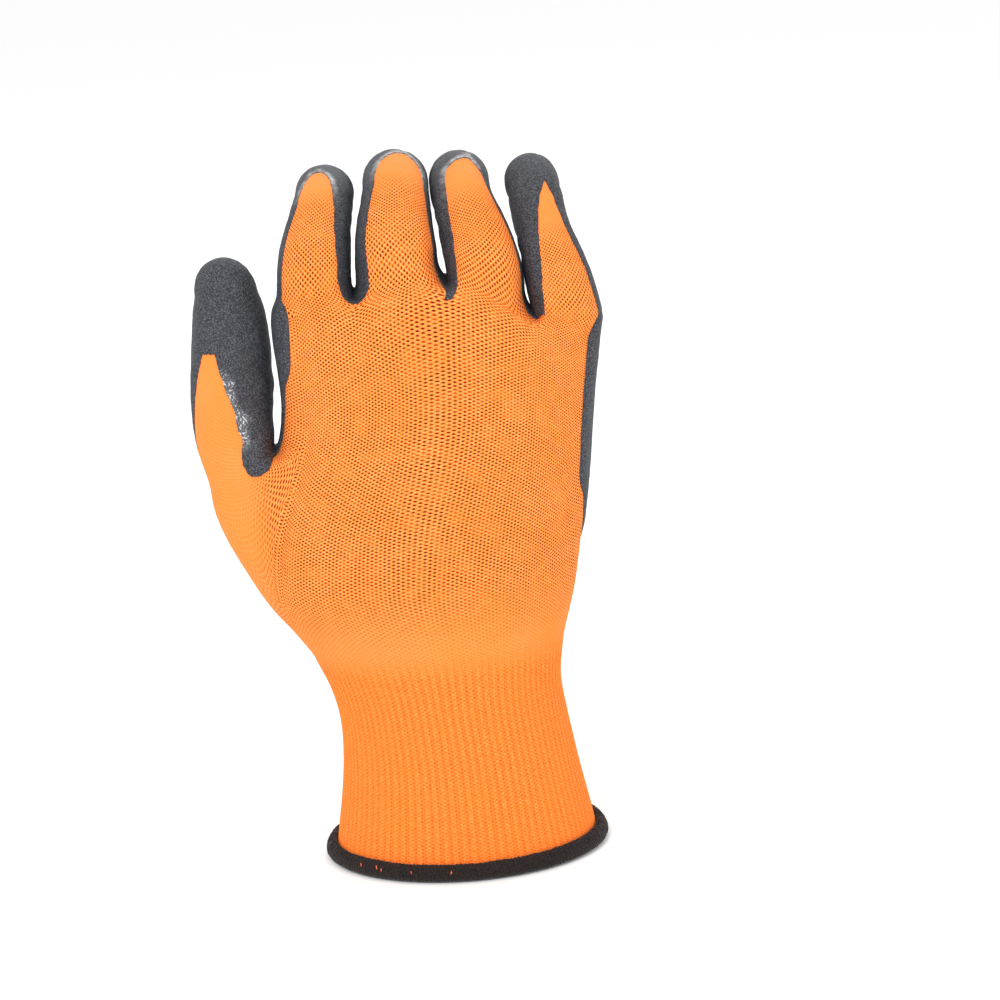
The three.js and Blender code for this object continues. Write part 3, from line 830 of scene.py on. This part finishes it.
def noise_at(points, size, seed):
    """Smooth noise from -1 to 1 at each point, with features of that size."""
    shift = Vector((seed * 7.3, seed * 3.1, seed * 5.7))
    return np.array([noise.noise(Vector(point) / size + shift) for point in points])


# Size of the waves, seed of their noise and height in millimetres, for the whole glove and for the coat's edge.
soft_waves = table("size seed height", (26 * mm, 1, 0.35), (11 * mm, 2, 0.14))
ragged_waves = table("size seed height", (3.2 * mm, 3, 0.45), (1.1 * mm, 4, 0.22))


def waves_at(points, waves):
    return sum(noise_at(points, wave.size, wave.seed) * wave.height * mm for wave in waves)


def read_attribute(mesh, name):
    values = np.empty(len(mesh.vertices))
    mesh.attributes[name].data.foreach_get("value", values)
    return values


def add_attribute(mesh, name, values):
    attribute = mesh.attributes.get(name) or mesh.attributes.new(name, "FLOAT", "POINT")
    attribute.data.foreach_set("value", np.asarray(values, float))


def smooth_array(values, low, high):
    share = np.clip((values - low) / (high - low), 0, 1)
    return share * share * (3 - 2 * share)


def read_normals(mesh):
    normals = np.empty(len(mesh.vertices) * 3)
    mesh.vertices.foreach_get("normal", normals)
    return normals.reshape(-1, 3)


# Creases of the palm, from one place to another as shares of palm_width and palm_length.
creases = table(
    "across up to_across to_up depth width",
    (-0.42, 0.74, 0.22, 0.5, 1.5 * mm, 2.2 * mm),
    (0.44, 0.72, -0.08, 0.88, 1.4 * mm, 2.2 * mm),
    (-0.4, 0.7, -0.2, 0.44, 1.3 * mm, 2.6 * mm),
    (-0.2, 0.44, -0.14, 0.1, 1.4 * mm, 2.6 * mm),
    (0.4, 0.3, 0.05, 0.16, 0.9 * mm, 2.4 * mm),
    (-0.34, -0.02, 0.3, 0.02, 1.2 * mm, 3 * mm),
)
crease_fade = 5  # a crease fades over one part in so many at each end
crease_end = 0.3  # share of its depth that is left there
finger_creases = [0.4, 0.5, 0.76]  # shares of a digit's length where its palm side folds
finger_crease_depth = 0.4 * mm
finger_crease_width = 0.035


def relief(mesh, points, normals):
    """Heights of the soft unevenness and the creases that knit and coat share."""
    height = waves_at(points, soft_waves)
    height *= smooth_array(points[:, 2], 0.01, 0.05)
    share, coated = read_attribute(mesh, "share"), read_attribute(mesh, "coated")
    on_palm = smooth_array(normals[:, 1], 0.1, 0.6) * (share == 0)
    places = points[:, [0, 2]]
    for crease in creases:
        start = np.array([crease.across * palm_width, cuff_length + crease.up * palm_length])
        end = np.array([crease.to_across * palm_width, cuff_length + crease.to_up * palm_length])
        run = end - start
        part = np.clip((places - start) @ run / (run @ run), 0, 1)
        off = np.linalg.norm(places - start - part[:, None] * run, axis=1)
        fade = np.clip(part * crease_fade, crease_end, 1) * np.clip((1 - part) * crease_fade, crease_end, 1)
        height -= crease.depth * np.exp(-((off / crease.width) ** 2)) * on_palm * fade
    inner = smooth_array(coated, 5 * mm, 9 * mm)
    for place in finger_creases:
        height -= finger_crease_depth * np.exp(-(((share - place) / finger_crease_width) ** 2)) * inner
    return height


def shade_smooth(mesh):
    mesh.polygons.foreach_set("use_smooth", [True] * len(mesh.polygons))
    mesh.update()


ribs_end = cuff_length + 6 * mm
rib_cuts = 3  # cuts of each edge that runs round the cuff, so that the ribs are smooth
level_slope = 0.25
sunk_knit = 0.4 * coat_wall  # how far the knit lies below its place under the coat


def make_knit():
    """The knitted liner, with standing ribs on the cuff and the values that its material reads."""
    mesh = fine_mesh.copy()
    bm = bmesh.new()
    bm.from_mesh(mesh)
    level = [
        edge for edge in bm.edges
        if all(corner.co.z < ribs_end for corner in edge.verts)
        and abs(edge.verts[0].co.z - edge.verts[1].co.z) < level_slope * edge.calc_length()
    ]
    bmesh.ops.subdivide_edges(bm, edges=level, cuts=rib_cuts, use_grid_fill=False)
    bmesh.ops.triangulate(bm, faces=[face for face in bm.faces if len(face.verts) > 4])
    bm.to_mesh(mesh)
    bm.free()
    points, normals = read_points(mesh), read_normals(mesh)
    column = np.zeros(len(points))
    corners = np.empty(len(mesh.loops), int)
    mesh.loops.foreach_get("vertex_index", corners)
    places = np.empty(len(mesh.loops) * 2)
    mesh.uv_layers["knit"].data.foreach_get("uv", places)
    column[corners] = places.reshape(-1, 2)[:, 0]
    z, share, back = points[:, 2], read_attribute(mesh, "share"), -normals[:, 1]
    ribbed = 1 - smooth_array(z, cuff_length - 8 * mm, ribs_end)
    rib = np.sin(column * ribs * full_turn)
    rib_fade = smooth_array(z, 3 * mm, 12 * mm) * ribbed
    under_coat = smooth_array(read_attribute(mesh, "coated"), 2.5 * mm, 6 * mm)
    height = relief(mesh, points, normals) + rib * rib_depth * rib_fade - under_coat * sunk_knit
    write_points(mesh, points + normals * height[:, None])
    on_hand = smooth_array(z, cuff_length - 4 * mm, cuff_length + 30 * mm)
    on_digit = 1 - smooth_array(share, 0.36, 0.5)
    is_thumb = smooth_array(-points[:, 0], thumb_start, 0.6 * palm_width)
    add_attribute(mesh, "openness", on_hand * on_digit * (1 - 0.9 * is_thumb) * smooth_array(back, -0.5, 0.2))
    add_attribute(mesh, "ribbed", ribbed)
    shade_smooth(mesh)
    mesh.materials.append(orange_knit)
    piece = new_piece("knit_cloth", mesh)
    wall = piece.modifiers.new("wall", "SOLIDIFY")
    wall.thickness = knit_wall
    wall.offset = -1
    wall.use_even_offset = False
    return piece


cut_range = (0.08, 0.92)  # part of an edge where it may be cut, so that no sliver is left


def cut_at_coat_edge(bm, depth):
    """Cuts the skin along the line where the coat ends and drops what lies outside it."""
    crossed = [edge for edge in bm.edges if (edge.verts[0][depth] > 0) != (edge.verts[1][depth] > 0)]
    cuts = set()
    for edge in crossed:
        start, end = edge.verts
        share = clamp(start[depth] / (start[depth] - end[depth]), *cut_range)
        _, cut = bmesh.utils.edge_split(edge, start, share)
        cut[depth] = 0
        cuts.add(cut)
    for face in {face for cut in cuts for face in cut.link_faces}:
        ends = [corner for corner in face.verts if corner in cuts]
        if len(ends) == 2:
            bmesh.utils.face_split(face, *ends)
    outside = [face for face in bm.faces if sum(corner[depth] for corner in face.verts) <= 0]
    bmesh.ops.delete(bm, geom=outside, context="FACES")


# Glossy place on the back of the thumb, where the coat has run together: its middle and half sizes.
# The latex's colour there carries a painted sheen and painted glints.
wet_place = (-0.72 * palm_width, cuff_length + 0.735 * palm_length)
wet_size = (3.4 * mm, 14 * mm)
feather_width = 4 * mm  # width over which the coat reaches its full thickness
lump_size = 2.4 * mm
lump_height = 0.1 * mm
tuck = 0.35 * mm  # how far the coat's edge is turned in below the skin
# The smooth rim is also painted lighter there, as a streaky highlight.
rim_width = (1.2 * mm, 3 * mm)  # smooth rim of the coat at the fingertips: full up to the first, none past the second


def make_coat():
    """The latex, as the skin inside the coat's edge, raised by its thickness and turned in along its edge."""
    mesh = subdivided(fine_skin, 1)
    points, normals = read_points(mesh), read_normals(mesh)
    coated = read_attribute(mesh, "coated")
    ragged = waves_at(points, ragged_waves)
    write_points(mesh, points + normals * relief(mesh, points, normals)[:, None])
    add_attribute(mesh, "coated", coated + ragged)
    bm = bmesh.new()
    bm.from_mesh(mesh)
    layer = bm.verts.layers.float["coated"]
    cut_at_coat_edge(bm, layer)
    bm.normal_update()
    for corner in bm.verts:
        thickness = lerp(coat_feather, coat_wall, smooth(corner[layer] / feather_width))
        thickness += noise.noise(corner.co / lump_size) * lump_height * smooth(corner[layer] / (0.5 * feather_width))
        corner.co += corner.normal * thickness
    rim = [edge for edge in bm.edges if edge.is_boundary]
    outward = {corner: corner.normal.copy() for edge in rim for corner in edge.verts}
    made = bmesh.ops.extrude_edge_only(bm, edges=rim)["geom"]
    fresh = {part for part in made if isinstance(part, bmesh.types.BMVert)}
    for corner, normal in outward.items():
        for edge in corner.link_edges:
            if edge.other_vert(corner) in fresh:
                edge.other_vert(corner).co = corner.co - normal * (coat_feather + tuck)
    bm.to_mesh(mesh)
    bm.free()
    points = read_points(mesh)
    depth, share = read_attribute(mesh, "coated"), read_attribute(mesh, "share")
    normals = read_normals(mesh)
    at_edge = 1 - smooth_array(depth, *rim_width)
    little_side = 0.31 * palm_width - 0.33 * (points[:, 2] - cuff_length - palm_length)
    long_fingers = (points[:, 0] > -thumb_start) * (points[:, 0] < little_side)
    # rim: the smooth coat edge on the long fingertips, which the latex paints lighter as a highlight.
    add_attribute(mesh, "rim", at_edge * smooth_array(share, 0.4, 0.55) * long_fingers)
    # The glossy streak on the thumb: glossier latex, with a painted sheen and painted glints in its colour.
    off = np.abs(points[:, 2] - wet_place[1]) / wet_size[1]
    streak = 1 - smooth_array(depth + noise_at(points, 3 * mm, 8) * 2 * mm, 0.4 * wet_size[0], wet_size[0])
    patch = streak * (1 - smooth_array(off, 0.6, 1)) * (points[:, 0] > wet_place[0])
    add_attribute(mesh, "wet_gloss_and_painted_sheen", patch * smooth_array(-points[:, 0], thumb_start, 0.56 * palm_width))
    shade_smooth(mesh)
    mesh.materials.append(black_latex)
    return new_piece("latex_coat", mesh)


hem_columns = 1200
hem_threads = 216
thread_depth = 0.3 * mm
hem_show = 0.9  # share of the hem's height that its thread stands
hem_clearance = 0.3 * mm
thread_slant = 0.11  # threads that a stitch moves on from one point of the band's section to the next


def make_hem():
    """Rolled band of overlock thread that straddles the edge of the cuff."""
    bm = bmesh.new()
    wide, inside = hem_wall + hem_clearance, knit_wall + hem_clearance
    # Section of the band: how far out from the cuff's face, and how high.
    profile = [
        (-0.4 * knit_wall, 0.5), (0.05 * wide, 0.9), (0.12 * wide, 0.99), (0.3 * wide, 1.05), (0.5 * wide, 1.02),
        (0.72 * wide, 0.93), (0.9 * wide, 0.76), (wide, 0.52), (0.95 * wide, 0.28), (0.74 * wide, 0.1),
        (0.4 * wide, 0.02), (0, 0), (-0.5 * inside, 0.02), (-inside - 0.6 * hem_lip, 0.1),
        (-inside - hem_lip, 0.35), (-inside - 0.9 * hem_lip, 0.65), (-inside - 0.4 * hem_lip, 0.86),
        (-0.8 * inside, 0.85),
    ]
    first = bmesh.ops.create_circle(bm, cap_ends=False, segments=hem_columns, radius=1)["verts"]
    rings = [list(first)]
    for _ in profile[1:]:
        lower = rings[-1]
        edges = [bm.edges.get(pair) for pair in zip(lower, lower[1:] + lower[:1])]
        made = bmesh.ops.extrude_edge_only(bm, edges=edges)["geom"]
        fresh = {part for part in made if isinstance(part, bmesh.types.BMVert)}
        rings.append(
            [next(e.other_vert(v) for e in v.link_edges if e.other_vert(v) in fresh) for v in lower]
        )
    for k, (ring, (out, up)) in enumerate(zip(rings, profile)):
        section = cuff_section(up * hem_show * hem_height / cuff_length)
        middle = Vector(((section.left + section.right) / 2, (section.back + section.front) / 2, section.z))
        for i, corner in enumerate(ring):
            turn = full_turn * i / hem_columns
            around = Vector((math.cos(turn), math.sin(turn), 0.02 * k))
            slip = noise.noise(around * 45) * 0.5
            thread = abs(math.sin(math.pi * (hem_threads * i / hem_columns + thread_slant * k + slip)))
            thread *= 0.75 + noise.noise(around * 80) * 0.6
            point = outline_point(section, turn)
            outward = (point - middle).normalized()
            swell = thread * thread_depth * (1 if 0 < k < len(profile) - 1 else 0)
            wander = (noise.noise(around * 9) * 0.25 + noise.noise(around * 60) * 0.2) * mm
            corner.co = point + outward * (out + swell)
            corner.co.z += (swell * 1.4 + wander) * smooth((up - 0.4) / 0.5)
    closing = [edge for edge in bm.edges if edge.is_boundary]
    bmesh.ops.bridge_loops(bm, edges=closing)
    bmesh.ops.recalc_face_normals(bm, faces=bm.faces)
    mesh = bpy.data.meshes.new("hem")
    bm.to_mesh(mesh)
    bm.free()
    shade_smooth(mesh)
    mesh.materials.append(black_overlock)
    return new_piece("overlock_hem", mesh)


# Places where the orange edge shows through the thread, as shares of the mouth's half width from its middle.
nick_places = [-0.75, -0.64, -0.61, -0.4, -0.13]
nick_length = 2.2 * mm
nick_width = 0.22 * mm
nick_level = 0.6  # share of the hem's height
nick_out = 0.15 * mm  # how far a nick's middle stands out of the hem


def make_nicks():
    """Short ends of orange yarn that lie between the threads of the hem."""
    chance = random.Random(5)
    bm = bmesh.new()
    section = cuff_section(nick_level * hem_height / cuff_length)
    middle = Vector(((section.left + section.right) / 2, (section.back + section.front) / 2, section.z))
    for place in nick_places:
        point = outline_point(section, math.acos(place))
        outward = (point - middle).normalized()
        point += outward * (hem_wall + nick_out)
        point.z += chance.uniform(-0.1, 0.06) * hem_height
        turn = outward.to_track_quat("Y", "Z").to_matrix() @ Matrix.Rotation(chance.uniform(-0.5, 0.5), 3, "Y")
        stretch = Matrix.Diagonal((nick_width, nick_width, nick_length * chance.uniform(0.3, 0.6)))
        matrix = Matrix.Translation(point) @ (turn @ stretch).to_4x4()
        bmesh.ops.create_uvsphere(bm, u_segments=10, v_segments=8, radius=1, matrix=matrix)
    mesh = bpy.data.meshes.new("nicks")
    bm.to_mesh(mesh)
    bm.free()
    shade_smooth(mesh)
    mesh.materials.append(orange_thread)
    return new_piece("hem_nicks", mesh)


knit_cloth = make_knit()
latex_coat = make_coat()
overlock_hem = make_hem()
hem_nicks = make_nicks()
bpy.data.objects.remove(skin)
bpy.data.objects.remove(fine_skin)

for piece, node, slot in (
    (knit_cloth, "knit_liner", "orange_knit"),
    (latex_coat, "latex_coating", "black_latex"),
    (overlock_hem, "cuff_hem", "black_overlock"),
):
    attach(piece, "root")
    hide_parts(node)
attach(hem_nicks, "root")


# Floor, light and background. A lamp is a disk with its power in watts.
floor_size = 8
floor_drop = 0.4 * mm
floor_grey = 0.97
lamps = table(
    "name place aim size power_w",
    ("key", (-0.7, -1.1, 1.2), (0, 0, 0.12), 0.8, 12),
    ("fill", (1.1, -0.8, 0.7), (0, 0, 0.12), 1.0, 4),
    ("back", (0.2, 1.2, 1.1), (0, 0, 0.15), 0.9, 6),
)


def make_floor():
    bm = bmesh.new()
    bmesh.ops.create_grid(bm, x_segments=1, y_segments=1, size=floor_size)
    bmesh.ops.translate(bm, verts=bm.verts, vec=(0, 0, -floor_drop))
    mesh = bpy.data.meshes.new("floor")
    bm.to_mesh(mesh)
    bm.free()
    colour = (floor_grey, floor_grey, floor_grey, 1)
    finish = Finish("pale_floor", base_color=colour, roughness=0.9, specular_ior_level=0.1)
    mesh.materials.append(finish.material)
    new_piece("floor", mesh)


def add_lamp(name, place, aim, size, power_w):
    lamp = bpy.data.lights.new(name, "AREA")
    lamp.shape = "DISK"
    lamp.size = size
    lamp.energy = power_w
    piece = bpy.data.objects.new(name, lamp)
    piece.location = place
    piece.rotation_mode = "QUATERNION"
    piece.rotation_quaternion = (Vector(aim) - Vector(place)).to_track_quat("-Z", "Y")
    bpy.context.scene.collection.objects.link(piece)


make_floor()
for row in lamps:
    add_lamp(row.name, row.place, row.aim, row.size, row.power_w)
world = bpy.data.worlds.new("studio")
bpy.context.scene.world = world
world.use_nodes = True
background = world.node_tree.nodes["Background"]
background.inputs["Color"].default_value = (1, 1, 1, 1)
background.inputs["Strength"].default_value = 1
bpy.context.scene.view_settings.view_transform = "Standard"
